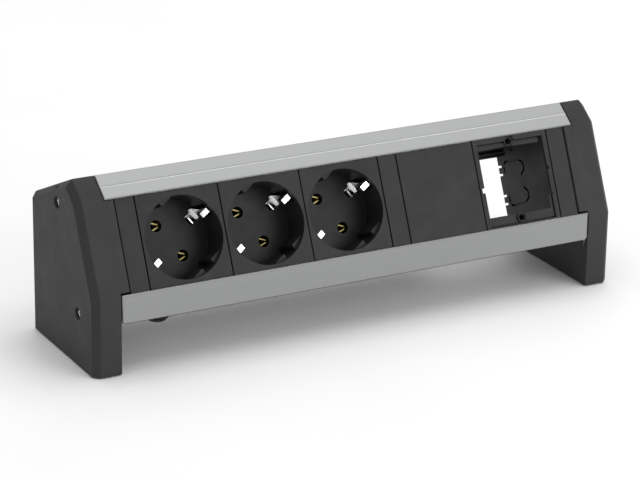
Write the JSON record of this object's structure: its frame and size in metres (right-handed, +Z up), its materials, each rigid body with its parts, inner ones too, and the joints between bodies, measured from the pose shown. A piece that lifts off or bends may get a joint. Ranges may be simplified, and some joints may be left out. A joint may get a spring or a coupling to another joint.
{
  "type": "desk power strip",
  "caption": "Desk power strip with earthed sockets, a blank cover and an open module bay in a sloping panel between end caps.",
  "frame": {"origin": "on the desk, under the middle of the strip's bounding box", "axes": "+X along the strip, +Y to the back, +Z up; the sloping panel faces -Y"},
  "size_m": [0.2808, 0.073, 0.088],
  "materials": {
    "cap_plastic": "fine moulded grain, dark grey",
    "panel_plastic": "fine moulded grain, dark grey",
    "inner_plastic": "plain moulding, near black",
    "anodised_rail": "satin anodised, drawn along its length",
    "rubber": "matt",
    "brass": "bright drawn strip",
    "steel": "bright zinc and nickel plate",
    "terminal_plastic": "natural polyamide",
    "wire_brown": "wire insulation",
    "wire_blue": "wire insulation",
    "wire_green_yellow": "wire insulation"
  },
  "bodies": {
    "housing": {"end_cap_left": "cap_plastic", "end_cap_right": "cap_plastic", "upper_rail": "anodised_rail", "lower_rail": "anodised_rail", "end_screws": "steel", "foot_pads": "rubber", "foot_inserts": "brass", "spacer_left": "panel_plastic", "spacer_middle": "panel_plastic", "spacer_right": "panel_plastic", "blank_cover": "panel_plastic", "module_frame": "panel_plastic", "socket_cover_1": "panel_plastic", "socket_cover_2": "panel_plastic", "socket_cover_3": "panel_plastic", "contact_carrier_1": "inner_plastic", "contact_carrier_2": "inner_plastic", "contact_carrier_3": "inner_plastic", "live_contact_1": "brass", "live_contact_2": "brass", "live_contact_3": "brass", "neutral_contact_1": "brass", "neutral_contact_2": "brass", "neutral_contact_3": "brass", "earth_bracket_1": "steel", "earth_bracket_2": "steel", "earth_bracket_3": "steel", "live_bar": "brass", "neutral_bar": "brass", "earth_bar": "brass", "carrier_screws": "steel", "bay_wall_left": "inner_plastic", "bay_wall_right": "inner_plastic", "wiring_cover": "inner_plastic", "cover_screws": "steel", "gland_body": "inner_plastic", "gland_nut": "inner_plastic", "gland_locknut": "inner_plastic", "terminal_block": "terminal_plastic", "terminal_clamps": "brass", "terminal_screws": "steel", "live_wire": "wire_brown", "neutral_wire": "wire_blue", "earth_wire": "wire_green_yellow"},
    "earth_clip_1_upper": {"earth_clip_1_upper": "steel"},
    "earth_clip_1_lower": {"earth_clip_1_lower": "steel"},
    "earth_clip_2_upper": {"earth_clip_2_upper": "steel"},
    "earth_clip_2_lower": {"earth_clip_2_lower": "steel"},
    "earth_clip_3_upper": {"earth_clip_3_upper": "steel"},
    "earth_clip_3_lower": {"earth_clip_3_lower": "steel"}
  },
  "joints": [
    {"name": "earth_clip_1_upper_flex", "type": "hinge", "parent": "housing", "child": "earth_clip_1_upper", "pos_m": [-0.07498, -0.00407, 0.0601], "axis": [-0.5736, 0.3371, 0.7466], "range_deg": [0, 6.5], "stiffness_Nm_per_rad": 0.5},
    {"name": "earth_clip_1_lower_flex", "type": "hinge", "parent": "housing", "child": "earth_clip_1_lower", "pos_m": [-0.10512, -0.01275, 0.04086], "axis": [0.5736, -0.3371, -0.7466], "range_deg": [0, 6.5], "stiffness_Nm_per_rad": 0.5},
    {"name": "earth_clip_2_upper_flex", "type": "hinge", "parent": "housing", "child": "earth_clip_2_upper", "pos_m": [-0.03248, -0.00407, 0.0601], "axis": [-0.5736, 0.3371, 0.7466], "range_deg": [0, 6.5], "stiffness_Nm_per_rad": 0.5},
    {"name": "earth_clip_2_lower_flex", "type": "hinge", "parent": "housing", "child": "earth_clip_2_lower", "pos_m": [-0.06262, -0.01275, 0.04086], "axis": [0.5736, -0.3371, -0.7466], "range_deg": [0, 6.5], "stiffness_Nm_per_rad": 0.5},
    {"name": "earth_clip_3_upper_flex", "type": "hinge", "parent": "housing", "child": "earth_clip_3_upper", "pos_m": [0.01002, -0.00407, 0.0601], "axis": [-0.5736, 0.3371, 0.7466], "range_deg": [0, 6.5], "stiffness_Nm_per_rad": 0.5},
    {"name": "earth_clip_3_lower_flex", "type": "hinge", "parent": "housing", "child": "earth_clip_3_lower", "pos_m": [-0.02012, -0.01275, 0.04086], "axis": [0.5736, -0.3371, -0.7466], "range_deg": [0, 6.5], "stiffness_Nm_per_rad": 0.5}
  ]
}
